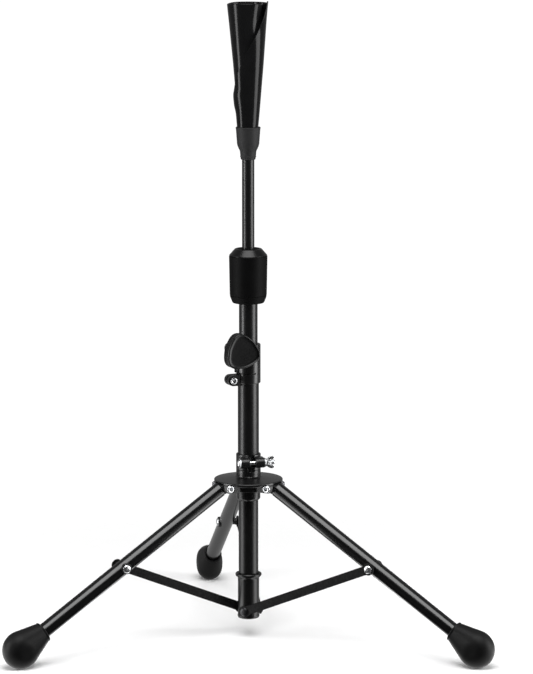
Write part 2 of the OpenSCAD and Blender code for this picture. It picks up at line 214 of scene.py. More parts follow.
def thread(bm, place, r, z0, z1, pitch=0.8, depth=0.35, tip=0.6):
    """A bar with turned thread crests, closed at both ends."""
    rows = [(0, z0), (r - depth, z0)]
    z = z0 + pitch
    while z < z1 - tip - pitch / 2:
        rows += [(r - depth, z - 0.3 * pitch), (r, z), (r, z + 0.15 * pitch)]
        z += pitch
    rows += [(r - depth, z1 - tip), (r - depth - 0.4, z1), (0, z1)]
    skin(bm, [circle_ring(place, a, b, 24) for a, b in rows])


def mesh_from(bm, name, scale=MM, sharp=38):
    bmesh.ops.remove_doubles(bm, verts=bm.verts, dist=1e-5)
    bmesh.ops.recalc_face_normals(bm, faces=bm.faces)
    mesh = bpy.data.meshes.new(name)
    bm.to_mesh(mesh)
    bm.free()
    mesh.transform(Matrix.Scale(scale, 4))
    mesh.shade_smooth()
    if sharp:
        mesh.set_sharp_from_angle(angle=math.radians(sharp))
    return mesh


def cad_shape(node):
    """A welded copy of a CAD node's mesh, in mm."""
    bm = bmesh.new()
    bm.from_mesh(NODES[node].data)
    bmesh.ops.transform(bm, matrix=Matrix.Scale(1 / MM, 4), verts=bm.verts)
    bmesh.ops.remove_doubles(bm, verts=bm.verts, dist=1e-3)
    return bm


def fused(bm, name, voxel, smooth):
    """One closed skin round everything in bm, with soft cast edges."""
    mesh = bpy.data.meshes.new(name)
    bmesh.ops.recalc_face_normals(bm, faces=bm.faces)
    bm.to_mesh(mesh)
    bm.free()
    temp = bpy.data.objects.new(name, mesh)
    bpy.context.scene.collection.objects.link(temp)
    m = temp.modifiers.new("voxel", "REMESH")
    m.mode = "VOXEL"
    m.voxel_size = voxel
    m.use_smooth_shade = True
    s = temp.modifiers.new("soft", "SMOOTH")
    s.factor = 0.5
    s.iterations = smooth
    graph = bpy.context.evaluated_depsgraph_get()
    made = bpy.data.meshes.new_from_object(temp.evaluated_get(graph))
    bpy.data.objects.remove(temp)
    made.transform(Matrix.Scale(MM, 4))
    made.shade_smooth()
    return made


def piece(name, mesh, body, slot, *replaced):
    """One visible piece on a body, in the slot's own material."""
    obj = bpy.data.objects.new(name, mesh)
    bpy.context.scene.collection.objects.link(obj)
    mesh.materials.clear()
    mesh.materials.append(PAINT[slot])
    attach(obj, body)
    if replaced:
        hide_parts(*replaced)


# ---------------------------------------------------------------- materials

class Nodes:
    """Short names for adding shader nodes and joining them."""

    def __init__(self, material):
        self.tree = material.node_tree
        self.shader = self.tree.nodes["Principled BSDF"]
        self.coords = self.add("ShaderNodeTexCoord").outputs["Object"]

    def add(self, kind, **values):
        node = self.tree.nodes.new(kind)
        for key, value in values.items():
            setattr(node, key, value)
        return node

    def join(self, a, b):
        self.tree.links.new(a, b)

    def noise(self, scale, detail=2.0, rough=0.5, stretch=None):
        n = self.add("ShaderNodeTexNoise")
        n.inputs["Scale"].default_value = scale
        n.inputs["Detail"].default_value = detail
        n.inputs["Roughness"].default_value = rough
        source = self.coords
        if stretch:
            m = self.add("ShaderNodeMapping")
            m.inputs["Scale"].default_value = stretch
            self.join(source, m.inputs["Vector"])
            source = m.outputs["Vector"]
        self.join(source, n.inputs["Vector"])
        return n.outputs["Fac"]

    def span(self, source, in_lo, in_hi, lo, hi):
        r = self.add("ShaderNodeMapRange")
        for key, value in (("From Min", in_lo), ("From Max", in_hi), ("To Min", lo),
                           ("To Max", hi)):
            r.inputs[key].default_value = value
        self.join(source, r.inputs["Value"])
        return r.outputs["Result"]

    def maths(self, kind, a, b):
        m = self.add("ShaderNodeMath", operation=kind)
        for k, v in enumerate((a, b)):
            if isinstance(v, (int, float)):
                m.inputs[k].default_value = v
            else:
                self.join(v, m.inputs[k])
        return m.outputs[0]

    def mix(self, fac, a, b):
        m = self.add("ShaderNodeMix", data_type="RGBA")
        self.join(fac, m.inputs["Factor"])
        for key, v in (("A", a), ("B", b)):
            socket = [s for s in m.inputs if s.name == key and s.type == "RGBA"][0]
            if isinstance(v, tuple):
                socket.default_value = (*v, 1)
            else:
                self.join(v, socket)
        return [s for s in m.outputs if s.type == "RGBA"][0]


def finish_of(name, dark, light, rough, rough_vary=0.06, grain=2600, bump=0.12,
              grain_size=0.00004, wave=0, wave_bump=0.0, metallic=0.0, specular=0.5,
              wear=None, wear_amount=0.15, dust=0.0, stretch=None, patch=35):
    """A Principled material whose colour, roughness and bump come from noise.

    dark and light are the two ends of its colour, wear the colour of rubbed edges."""
    m = bpy.data.materials.new(name)
    m.use_nodes = True
    n = Nodes(m)
    s = n.shader
    s.inputs["Metallic"].default_value = metallic
    s.inputs["Specular IOR Level"].default_value = specular
    cloud = n.noise(patch, 3.0, 0.55, stretch)
    fine = n.noise(patch * 9, 3.0, 0.6, stretch)
    colour = n.mix(n.span(cloud, 0.3, 0.7, 0.0, 1.0), dark, light)
    roughness = n.span(n.maths("ADD", cloud, fine), 0.7, 1.3,
                       rough - rough_vary, rough + rough_vary)
    if wear:
        edge = n.add("ShaderNodeNewGeometry").outputs["Pointiness"]
        edge = n.span(edge, 0.53, 0.62, 0.0, 1.0)
        broken = n.span(n.noise(420, 4.0, 0.7), 0.42, 0.62, 0.0, wear_amount)
        colour = n.mix(n.maths("MULTIPLY", edge, broken), colour, wear)
    if dust:
        specks = n.span(n.noise(260, 5.0, 0.75), 0.62, 0.8, 0.0, dust)
        colour = n.mix(specks, colour, (0.12, 0.115, 0.11))
    n.join(colour, s.inputs["Base Color"])
    n.join(roughness, s.inputs["Roughness"])
    b = n.add("ShaderNodeBump")
    b.inputs["Strength"].default_value = bump
    b.inputs["Distance"].default_value = grain_size
    n.join(n.noise(grain, 2.0, 0.5, stretch), b.inputs["Height"])
    normal = b.outputs["Normal"]
    if wave:
        w = n.add("ShaderNodeBump")
        w.inputs["Strength"].default_value = wave_bump
        w.inputs["Distance"].default_value = 0.0004
        n.join(n.noise(wave, 2.0, 0.5), w.inputs["Height"])
        n.join(normal, w.inputs["Normal"])
        normal = w.outputs["Normal"]
    n.join(normal, s.inputs["Normal"])
    return m


def black(value, warm=0.0):
    return (value * (1 + warm), value, value * (1.04 - warm))


PAINT = {
    "tube_satin": finish_of(
        "tube_satin", black(0.002), black(0.003), 0.33, 0.015, 2400, 0.03, 0.00003,
        wave=90, wave_bump=0.012, specular=0.36, wear=(0.2, 0.2, 0.2),
        dust=0.03),
    "leg_enamel": finish_of(
        "leg_enamel", black(0.002), black(0.003), 0.2, 0.015, 1800, 0.02, 0.00003,
        wave=90, wave_bump=0.012, specular=0.5, wear=(0.2, 0.2, 0.2),
        dust=0.03),
    "cast_black": finish_of(
        "cast_black", black(0.003), black(0.005), 0.3, 0.03, 1500, 0.08, 0.00005,
        wave=380, wave_bump=0.01, specular=0.45, wear=(0.16, 0.16, 0.165),
        dust=0.05),
    "collar_plastic": finish_of(
        "collar_plastic", black(0.0012), black(0.002), 0.55, 0.03, 3200, 0.08, 0.00003,
        specular=0.05, wear=(0.06, 0.06, 0.06), dust=0.02),
    "knob_plastic": finish_of(
        "knob_plastic", black(0.002), black(0.003), 0.3, 0.03, 3000, 0.1, 0.00004,
        specular=0.26, wear=(0.08, 0.08, 0.08), dust=0.02),
    "black_plastic": finish_of(
        "black_plastic", black(0.005), black(0.008), 0.42, 0.04, 2600, 0.1, 0.00004,
        specular=0.35, wear=(0.06, 0.06, 0.06), dust=0.03),
    "cone_rubber": finish_of(
        "cone_rubber", black(0.004), black(0.006), 0.16, 0.02, 1700, 0.05, 0.00004,
        wave=45, wave_bump=0.03, specular=0.12, wear=(0.05, 0.05, 0.05),
        dust=0.02, patch=28),
    "boot_rubber": finish_of(
        "boot_rubber", black(0.010), black(0.013), 0.62, 0.04, 2200, 0.12, 0.00005,
        wave=200, wave_bump=0.03, specular=0.2, wear=(0.05, 0.05, 0.05),
        dust=0.03),
    "foot_rubber": finish_of(
        "foot_rubber", black(0.0025), black(0.004), 0.5, 0.05, 1900, 0.12, 0.00005,
        wave=160, wave_bump=0.03, specular=0.15, wear=(0.05, 0.05, 0.05),
        dust=0.06),
    "brace_matte": finish_of(
        "brace_matte", black(0.0015), black(0.003), 0.55, 0.05, 2200, 0.1, 0.00004,
        specular=0.14, wear=(0.2, 0.2, 0.2), dust=0.04),
    "bright_zinc": finish_of(
        "bright_zinc", (0.6, 0.61, 0.62), (0.72, 0.73, 0.74), 0.26, 0.06, 2600, 0.06,
        0.00003, metallic=1.0, patch=300),
    "dark_zinc": finish_of(
        "dark_zinc", (0.2, 0.2, 0.21), (0.32, 0.32, 0.34), 0.34, 0.06, 2600, 0.08,
        0.00003, metallic=1.0, patch=300),
    "black_steel": finish_of(
        "black_steel", (0.015, 0.015, 0.016), (0.025, 0.025, 0.027), 0.3, 0.04, 2400, 0.08,
        0.00003, metallic=0.6, wear=(0.3, 0.3, 0.31), patch=200),
    "bearing_plastic": finish_of(
        "bearing_plastic", (0.62, 0.62, 0.6), (0.7, 0.7, 0.68), 0.42, 0.05, 1600, 0.1,
        0.00004, specular=0.45),
    "plug_wood": finish_of(
        "plug_wood", (0.36, 0.23, 0.11), (0.52, 0.36, 0.2), 0.62, 0.08, 900, 0.4,
        0.0002, stretch=(14.0, 14.0, 1.0), specular=0.3, patch=60),
}


def repaint(node, slot):
    """A CAD node that stays, with a material from PAINT."""
    mesh = NODES[node].data
    mesh.materials.clear()
    mesh.materials.append(PAINT[slot])
    for polygon in mesh.polygons:
        polygon.material_index = 0


# ---------------------------------------------------------------- tubes

def tube_piece(name, node, body, slot, place=UPRIGHT, edge=0.25):
    """A round tube with turned rims, the size of a CAD tube."""
    r_in, r_out = radii(node, place)
    lo, hi = extent(node, place)
    z0, z1 = lo.z, hi.z
    e = min(edge, 0.4 * (r_out - r_in))
    bm = bmesh.new()
    lathe(bm, [(r_out, z0, e), (r_out, z1, e), (r_in, z1, e), (r_in, z0, e)],
          place, sides=112, loop=True)
    piece(name, mesh_from(bm, name), body, slot, node)


tube_piece("mast_outer", "mast_tube", "hub", "tube_satin")
tube_piece("mast_column", "column_tube", "column", "tube_satin")
tube_piece("mast_inner", "inner_tube", "inner_mast", "tube_satin")
tube_piece("mast_rod", "top_rod", "ball_post", "tube_satin")


# ---------------------------------------------------------------- column's lower end

def column_sleeve():
    lo, hi = extent("column_sleeve")
    bore, lip = radii("column_sleeve")
    z0, z1 = lo.z, hi.z
    wall = lip - 3.2
    bm = bmesh.new()
    lathe(bm, [(bore, z0 + 0.4, 0.2), (wall - 0.6, z0, 0.3), (wall + 0.45, z0 + 0.3, 0.4),
               (wall + 0.45, z0 + 2.6, 0.3), (wall, z0 + 3.4, 0.4),
               (wall, z1 - 6.6, 3.2), (lip - 0.5, z1 - 4.2, 0.8), (lip, z1 - 3.2, 0.5),
               (lip, z1 - 1.4, 0.8), (lip - 0.9, z1 - 0.2, 0.7), (bore + 1.6, z1 - 0.7, 0.6),
               (bore, z1 - 1.6, 0.3)], loop=True)
    mesh = mesh_from(bm, "column_foot_sleeve")
    piece("column_foot_sleeve", mesh, "column", "tube_satin",
          "column_sleeve")


def column_plug():
    lo = extent("column_end_plug")[0]
    r = radii("column_end_plug")[1]
    bm = bmesh.new()
    lathe(bm, [(0, lo.z + 0.5), (r - 5, lo.z + 0.5, 0.6), (r - 4.2, lo.z, 0.4),
               (r, lo.z, 0.7), (r, lo.z + 1.3, 0.3), (r - 2.0, lo.z + 1.9, 0.3),
               (r - 2.0, lo.z + 8, 0.3), (0, lo.z + 8)])
    piece("column_cap", mesh_from(bm, "column_cap"), "column", "black_plastic", "column_end_plug")


column_sleeve()
column_plug()


# ---------------------------------------------------------------- castings

piece("hub_cast", fused(cad_shape("hub_casting"), "hub_cast", 0.5, 4), "hub", "cast_black", "hub_casting")
piece("clamp_cast", fused(cad_shape("height_clamp"), "clamp_cast", 0.4, 4), "hub",
      "cast_black", "height_clamp")


# ---------------------------------------------------------------- screws at the hub

BOLT_R = 2.95       # shank of the M6 bolts at the hub
CLAMP_SCREW_R = 2.45


def pivot_screws():
    """The bolt at each leg's pivot: bright socket head on one side, nut on the other."""
    heads, nuts = bmesh.new(), bmesh.new()
    for leg in LEGS.values():
        flat = place_of(leg.pivot, leg.across, leg.out)
        pts = [p for p in local_points("leg_pivot_bolts", flat) if p.xy.length < 8]
        lo, hi = min(p.z for p in pts), max(p.z for p in pts)
        side = 1 if abs(hi) < abs(lo) else -1     # the threaded end reaches further
        tip = max(abs(lo), abs(hi))
        top = min(abs(lo), abs(hi))
        head_r = max(p.xy.length for p in pts)
        away = place_of(leg.pivot, side * leg.across, leg.out)
        seat = 18.5
        socket_head(heads, away, head_r, top - seat, seat, BOLT_R, 0.47)
        lathe(heads, [(0, 4), (BOLT_R, 4), (BOLT_R, seat - 3), (0, seat - 3)], away, 32)
        back = place_of(leg.pivot, -side * leg.across, leg.out)
        thread(heads, back, BOLT_R, 4, tip)
        hex_nut(nuts, back, 4.6, 3.6, 3.0, seat)
    piece("pivot_screws", mesh_from(heads, "pivot_screws"), "hub", "bright_zinc", "leg_pivot_bolts")
    piece("pivot_nuts", mesh_from(nuts, "pivot_nuts"), "hub", "dark_zinc", "leg_pivot_nuts")


LEGS = {side: Leg(side) for side in SIDES}
pivot_screws()


# ---------------------------------------------------------------- hub clamp bolt and wing nut

wing = JOINTS["wing_nut_turn"]
wing_axis = Vector(wing["axis"])
wing_out = UP.cross(wing_axis) * -1
bolt_centre = Vector(wing["pos_m"]) / MM
bolt_centre -= wing_axis * (bolt_centre.dot(wing_axis))
WING = place_of(bolt_centre, wing_axis, wing_out)


def hub_bolt():
    lo, hi = extent("hub_clamp_bolt", WING)
    away = place_of(bolt_centre, -wing_axis, wing_out)
    flange, end = 6.8, -lo.z
    face = end - 4.0
    bm = bmesh.new()
    lathe(bm, [(0, face), (flange, face, 0.3), (flange, face + 1.3, 0.4), (4.9, face + 1.7, 0.3),
               (4.5, face + 3.0, 0.6), (3.2, end, 0.8), (0, end)], away, 64)
    lathe(bm, [(0, -face - 0.2), (BOLT_R, -face - 0.2, 0.1), (BOLT_R, 12, 0.1), (0, 12)], WING, 40)
    thread(bm, WING, BOLT_R, 12, hi.z)
    piece("hub_bolt", mesh_from(bm, "hub_bolt"), "hub", "bright_zinc",
          "hub_clamp_bolt")


def wing_pieces():
    lo, hi = extent("wing_washer", WING)
    bm = bmesh.new()
    lathe(bm, [(3.15, lo.z, 0.2), (hi.x, lo.z, 0.4), (hi.x, hi.z, 0.5), (3.15, hi.z, 0.2)],
          WING, 64, loop=True)
    piece("wing_nut_washer", mesh_from(bm, "wing_nut_washer"), "hub", "bright_zinc", "wing_washer")
    base = extent("wing_nut", WING)[0].z
    bm = bmesh.new()
    lathe(bm, [(3.0, base, 0.2), (5.3, base, 0.5), (5.0, base + 3, 1), (4.1, base + 7.6, 0.8),
               (3.0, base + 7.6, 0.2)], WING, 48, loop=True)
    for s in (-1, 1):
        blade = []
        for k in range(28):
            a = TAU * k / 28
            reach, rise = 5.2 + 2.9 * math.cos(a), 7.4 + 4.9 * math.sin(a)
            reach += 0.25 * (rise - 7.4)
            blade.append((s * reach, base + rise))
        rings = []
        for t in (-1.0, 1.0):
            rings.append([WING @ Vector((0.85 * t, y, z)) for y, z in blade])
        mid = (sum(p[0] for p in blade) / 28, sum(p[1] for p in blade) / 28)
        skin(bm, [[WING @ Vector((-1.05, *mid))], *rings, [WING @ Vector((1.05, *mid))]])
    piece("wing_nut_cast", fused(bm, "wing_nut_cast", 0.25, 5), "wing_nut", "bright_zinc", "wing_nut")


hub_bolt()
wing_pieces()


# ---------------------------------------------------------------- height clamp's screw and knob

knob = JOINTS["clamp_knob_turn"]
knob_axis = Vector(knob["axis"])
knob_right = UP.cross(knob_axis)
knob_centre = Vector(knob["pos_m"]) / MM
knob_centre -= knob_axis * knob_centre.dot(knob_axis)
KNOB = place_of(knob_centre, knob_axis, knob_right)


def clamp_screw():
    lo, hi = extent("height_clamp_screw", KNOB)
    centre = KNOB @ Vector(((lo.x + hi.x) / 2, (lo.y + hi.y) / 2, 0))
    out = place_of(centre, knob_axis, knob_right)
    back = place_of(centre, -knob_axis, knob_right)
    bm = bmesh.new()
    socket_head(bm, out, (hi.x - lo.x) / 2, 2.6, hi.z - 2.6, CLAMP_SCREW_R)
    lathe(bm, [(0, -2), (CLAMP_SCREW_R, -2), (CLAMP_SCREW_R, hi.z - 6), (0, hi.z - 6)], out, 32)
    thread(bm, back, CLAMP_SCREW_R, 1, -lo.z)
    piece("clamp_screw", mesh_from(bm, "clamp_screw"), "hub", "bright_zinc", "height_clamp_screw")
    n_lo, n_hi = extent("height_clamp_nut", back)
    bm = bmesh.new()
    hex_nut(bm, back, 4.25, n_hi.z - n_lo.z, 2.5, n_lo.z)
    piece("clamp_screw_nut", mesh_from(bm, "clamp_screw_nut"), "hub", "dark_zinc", "height_clamp_nut")


def knob_bolt():
    lo, hi = extent("knob_bolt", KNOB)
    back = place_of(knob_centre, -knob_axis, knob_right)
    bm = bmesh.new()
    lathe(bm, [(0, -hi.z), (3.9, -hi.z, 0.3), (3.9, -lo.z - 3, 0.1), (5.4, -lo.z - 3, 0.3),
               (5.3, -lo.z - 1.4, 0.5), (3.4, -lo.z, 0.9), (0, -lo.z)], back, 56)
    piece("knob_stud", mesh_from(bm, "knob_stud"), "hub", "black_steel", "knob_bolt")
    lo, hi = extent("knob_washer", KNOB)
    bm = bmesh.new()
    lathe(bm, [(4.1, lo.z, 0.2), (hi.x, lo.z, 0.4), (hi.x, hi.z, 0.5), (4.1, hi.z, 0.2)],
          KNOB, 64, loop=True)
    piece("knob_stud_washer", mesh_from(bm, "knob_stud_washer"), "hub",
          "black_steel", "knob_washer")


KNOB_LOBE = math.radians(180 - 76.4)
KNOB_MEAN, KNOB_SWELL, KNOB_TIP = 22.8, 2.1, 0.4


def knob_outline(a):
    """Radius of the three-lobed outline at angle a: shallow sides and round tips."""
    d = a - KNOB_LOBE
    return KNOB_MEAN + KNOB_SWELL * math.cos(3 * d) + KNOB_TIP * math.cos(6 * d)


def clamp_knob():
    lo, hi = extent("clamp_knob", KNOB)
    neck, under, face = 7.0, 24.0, hi.z
    n = 360
    ribs = 54
    rings = []

    def ring(inset, z, rib=0.0):
        pts = []
        for k in range(n):
            a = TAU * k / n
            wave = 0.5 - 0.5 * math.cos(a * ribs)
            r = knob_outline(a) - inset - rib * wave ** 0.6
            pts.append(KNOB @ Vector((r * math.cos(a), r * math.sin(a), z)))
        return pts

    def round_ring(r, z):
        return circle_ring(KNOB, r, z, n)

    rings += [round_ring(4.1, lo.z), round_ring(neck - 0.4, lo.z), round_ring(neck, lo.z + 0.4),
              round_ring(neck, under - 1.2), round_ring(neck + 0.5, under - 0.4),
              round_ring(neck + 1.4, under)]
    rings += [ring(5.5, under), ring(1.5, under + 0.1), ring(0.7, under + 0.35),
              ring(0.25, under + 1.0), ring(0.15, under + 1.5)]
    rings += [ring(0.1, under + 2.0, 1.3), ring(0.1, face - 3.2, 1.3)]
    rings += [ring(0.1, face - 2.6), ring(0.1, face - 1.7), ring(0.3, face - 1.05),
              ring(0.75, face - 0.45), ring(1.3, face - 0.12), ring(1.8, face),
              ring(2.2, face - 0.1), ring(2.6, face - 0.7), ring(3.1, face - 1.0),
              ring(6.0, face - 1.1), ring(10.0, face - 1.15)]
    rings += [round_ring(4.0, face - 1.18), [KNOB @ Vector((0, 0, face - 1.18))]]
    bm = bmesh.new()
    skin(bm, rings)
    lathe(bm, [(4.1, lo.z), (4.1, lo.z + 8), (0, lo.z + 8)], KNOB, 48)
    piece("knob_grip", mesh_from(bm, "knob_grip", sharp=50), "clamp_knob", "knob_plastic", "clamp_knob")


clamp_screw()
knob_bolt()
clamp_knob()


# ---------------------------------------------------------------- twist collar

def collar():
    lo, hi = extent("collar_shell")
    wide = radii("collar_shell")[1]
    z0, z1 = lo.z, hi.z
    edge = z1 - 9.1
    bm = bmesh.new()
    lathe(bm, [(17.3, z0, 0.2), (wide - 1.2, z0, 0.35), (wide - 0.9, z0 + 1.0, 0.5),
               (wide, edge - 0.8, 0.5), (wide - 0.5, edge - 0.15, 0.4), (9.1, edge - 0.15),
               (9.1, z0 + 42, 0.4), (17.3, z0 + 42, 0.4)], sides=144, loop=True)
    piece("collar_grip", mesh_from(bm, "collar_grip"), "lock_collar", "collar_plastic", "collar_shell")
    bm = bmesh.new()
    lathe(bm, [(9.1, edge), (wide - 0.7, edge, 0.3), (wide - 0.2, edge + 0.5, 0.6),
               (18.2, z1 - 0.5, 1.0), (17.4, z1, 0.5), (16.6, z1, 0.4),
               (15.8, z1 - 0.7, 0.4), (10.6, z1 - 5.4, 0.6), (9.1, z1 - 5.6, 0.3)],
          sides=144, loop=True)
    piece("collar_rim", mesh_from(bm, "collar_rim"), "lock_collar", "knob_plastic")
    lo, hi = extent("collar_base")
    bore = radii("collar_base")[0]
    seam = z0 - 0.3
    bm = bmesh.new()
    lathe(bm, [(bore, lo.z, 0.2), (20.4, lo.z, 0.5), (21.3, lo.z + 0.9, 0.5),
               (wide - 1.3, seam - 1.6, 0.7), (wide - 1.2, seam, 0.35), (17, seam, 0.2),
               (17, hi.z, 0.3), (15, hi.z, 0.3), (15, seam + 7, 0.2), (bore, seam + 7, 0.2)],
          sides=144, loop=True)
    piece("collar_foot", mesh_from(bm, "collar_foot"), "inner_mast", "collar_plastic", "collar_base")


collar()


# ---------------------------------------------------------------- boot and cone

def boot():
    lo, hi = extent("rubber_boot")
    bore = radii("rubber_boot")[0]
    z, top = lo.z, hi.z
    bm = bmesh.new()
    lathe(bm, [(bore, z, 0.2), (8.9, z, 0.3), (9.8, z + 0.7, 0.6), (9.9, z + 2.6, 0.4),
               (10.5, z + 3.3, 0.5), (10.6, z + 4.4, 0.5), (10.35, z + 5.2, 0.6),
               (10.9, z + 11.4, 1.6), (12.4, z + 14.4, 2.0), (13.9, z + 17.8, 2.5),
               (14.7, z + 21, 2.5), (16.1, top - 3.0, 3), (16.5, top - 1.2, 0.5),
               (16.3, top, 0.35), (bore, top, 0.2)], sides=128, loop=True)
    piece("boot_skin", mesh_from(bm, "boot_skin"), "ball_post", "boot_rubber", "rubber_boot")


def bump_at(x, centre, width):
    return math.exp(-((x - centre) / width) ** 2)


def smooth_step(t):
    t = min(max(t, 0.0), 1.0)
    return t * t * (3 - 2 * t)


def cone_sheet():
    """A rubber sheet rolled into a cone. Its free edge runs down from the rim's right
    side, across the front, to the left side, and stands off a little at both ends."""
    lo, hi = extent("ball_cone")
    z_low, z_top = lo.z, hi.z
    pts = local_points("ball_cone", UPRIGHT)
    r_top = max(math.hypot(p.x, p.y) for p in pts if p.z > z_top - 1)
    r_low = max(math.hypot(p.x, p.y) for p in pts if p.z < z_low + 1)
    thick, gap = 1.9, 0.3
    turns = 360 + 75
    cols, rows = 290, 110
    lean = 1.7

    lap = 366                       # degrees round at which the sheet lies under its edge
    rim_dip, rim_lift, belly = 3.6, 1.3, 1.5

    def free_edge(z):
        """Angle of the free edge at height z, in degrees from the front."""
        d = (z_top - 4) - z
        return 72 - 1.08 * d - 0.0025 * d * d

    def point(phi, z, side):
        t = (z - z_low) / (z_top - z_low)
        base = r_low + (r_top - r_low) * t
        spiral = (thick + gap) * smooth_step(phi / 360)
        upper = smooth_step((z - z_top + 66) / 60)
        bulge = math.exp(-((z - z_top + 128) / 13) ** 4)
        lift = rim_lift * upper * math.exp(-phi / 20)
        lift += belly * bulge * math.exp(-((phi - 8) / 40) ** 2)
        dip = rim_dip * upper
        if phi <= lap:
            dip *= math.exp(-((phi - lap) / 34) ** 2)
        tight = 0.5 * bump_at(z, z_low, 30) * math.exp(-phi / 60)
        r = base - thick / 2 - spiral + lift - dip - tight + side * thick / 2
        theta = math.radians(free_edge(z) + phi)
        wander = 0.18 * noise.noise(Vector((math.cos(theta), math.sin(theta), z / 38)))
        r += wander
        x = r * math.sin(theta) - lean * t * t
        y = -r * math.cos(theta)
        return Vector((x, y, z))

    def top_at(phi):
        theta = (free_edge(z_top) + phi + 180) % 360 - 180
        tip = 2.4 * math.exp(-(phi / 11) ** 2)
        droop = 1.5 * bump_at(theta, -90, 36)
        if phi > 240:
            droop += 1.6 * bump_at(phi, 350, 26)
        return z_top + tip - droop

    half = thick / 2
    rim = [(math.sin(a), math.cos(a)) for a in (math.pi / 2 * k / 4 for k in range(5))]
    bm = bmesh.new()
    grid = []
    phis = [turns * (k / (cols - 1)) ** 1.12 for k in range(cols)]
    levels = [(k / (rows - 1), 0.0, 1.0) for k in range(rows)]
    levels += [(1.0, half * s, c) for s, c in rim[1:]]
    for t, over, width in levels:
        loop = []
        for side, order in ((1, phis), (-1, phis[::-1])):
            for phi in order:
                top = top_at(phi)
                z = z_low + (top - z_low) * t
                p = point(phi, z, side * width)
                loop.append(p + Vector((0, 0, over)))
            phi, back = (turns, 0.5) if side == 1 else (0.0, -0.5)
            p = point(phi, z_low + (top_at(phi) - z_low) * t, 0)
            theta = math.radians(free_edge(p.z) + phi)
            swing = Vector((math.cos(theta), math.sin(theta), 0)) * back
            loop.append(p + swing * width + Vector((0, 0, over)))
        grid.append(loop)
    made = [[bm.verts.new(p) for p in row] for row in grid]
    n = len(made[0])
    for a, b in zip(made, made[1:]):
        for i in range(n):
            j = (i + 1) % n
            bm.faces.new((a[i], a[j], b[j], b[i]))
    low = made[0]
    for i in range(cols - 1):
        bm.faces.new((low[i], low[i + 1], low[n - 3 - i], low[n - 2 - i]))
    bm.faces.new((low[cols - 1], low[cols], low[cols + 1]))
    bm.faces.new((low[n - 2], low[n - 1], low[0]))
    bmesh.ops.remove_doubles(bm, verts=bm.verts, dist=0.005)
    mesh = mesh_from(bm, "cone_sheet", sharp=60)
    piece("cone_sheet", mesh, "ball_post", "cone_rubber", "ball_cone")


boot()
cone_sheet()


# ---------------------------------------------------------------- legs

def foot(leg):
    """A soft teardrop foot cast from the CAD foot's outside, with a recess for the tube."""
    node = f"leg_foot_{leg.side}"
    place = leg.tube
    bm = cad_shape(node)
    tree = BVHTree.FromBMesh(bm)
    bm.free()
    pts = local_points(node, place)
    z0 = min(p.z for p in pts)
    z1 = max(p.z for p in pts)
    ball = z1 - max(p.x for p in pts)
    sides = 72

    def cast(origin, direction):
        start = origin + direction * 70
        world = place @ start
        aim = (place.to_3x3() @ -direction).normalized()
        hit = tree.ray_cast(world, aim)[0]
        return place.inverted() @ hit

    rings = []
    bodies = 26
    for k in range(bodies + 1):
        z = z0 + 0.4 + (ball - z0 - 0.4) * k / bodies
        rings.append([cast(Vector((0, 0, z)),
                           Vector((math.cos(a), math.sin(a), 0)))
                      for a in (TAU * i / sides for i in range(sides))])
    ends = 18
    for k in range(1, ends):
        tilt = math.pi / 2 * k / ends
        rings.append([cast(Vector((0, 0, ball)),
                           Vector((math.cos(a) * math.cos(tilt),
                                   math.sin(a) * math.cos(tilt), math.sin(tilt))))
                      for a in (TAU * i / sides for i in range(sides))])
    rings.append([cast(Vector((0, 0, ball)), Vector((0, 0, 1)))])
    smooth = [list(r) for r in rings]
    for _ in range(3):
        for j in range(1, len(rings) - 2):
            for i in range(sides):
                near = (rings[j - 1][i] + rings[j + 1][i] + rings[j][i - 1]
                        + rings[j][(i + 1) % sides]) / 4
                smooth[j][i] = rings[j][i].lerp(near, 0.5)
        rings = [list(r) for r in smooth]
    first = rings[0]
    mouth = []
    for grow, rise in ((0.4, 2.2), (0.75, 1.3), (0.8, 0.4), (0.55, -0.2), (0.1, -0.5)):
        mouth.append([p + Vector((p.x, p.y, 0)).normalized() * grow
                      + Vector((0, 0, rise)) for p in first])
    lip = [circle_ring(UPRIGHT, r, z0 + dz, sides) for r, dz in
           ((11.0, -0.35), (10.75, -0.1), (10.6, 0.5), (10.55, 3.2), (10.0, 3.4),
            (9.6, 3.4))]
    inner = [circle_ring(UPRIGHT, 9.6, z0 + 20, sides), [Vector((0, 0, z0 + 20))]]
    body = [r for r in rings if len(r) == 1 or min(p.z for p in r) > z0 + 2.8]
    order = inner[::-1] + lip[::-1] + mouth[::-1] + body
    bm = bmesh.new()
    skin(bm, [[place @ p for p in r] for r in order])
    for v in bm.verts:
        if v.co.z < 0.0:
            v.co.z = 0.0
    piece(f"foot_skin_{leg.side}", mesh_from(bm, node, sharp=55), f"leg_{leg.side}",
          "foot_rubber", node)


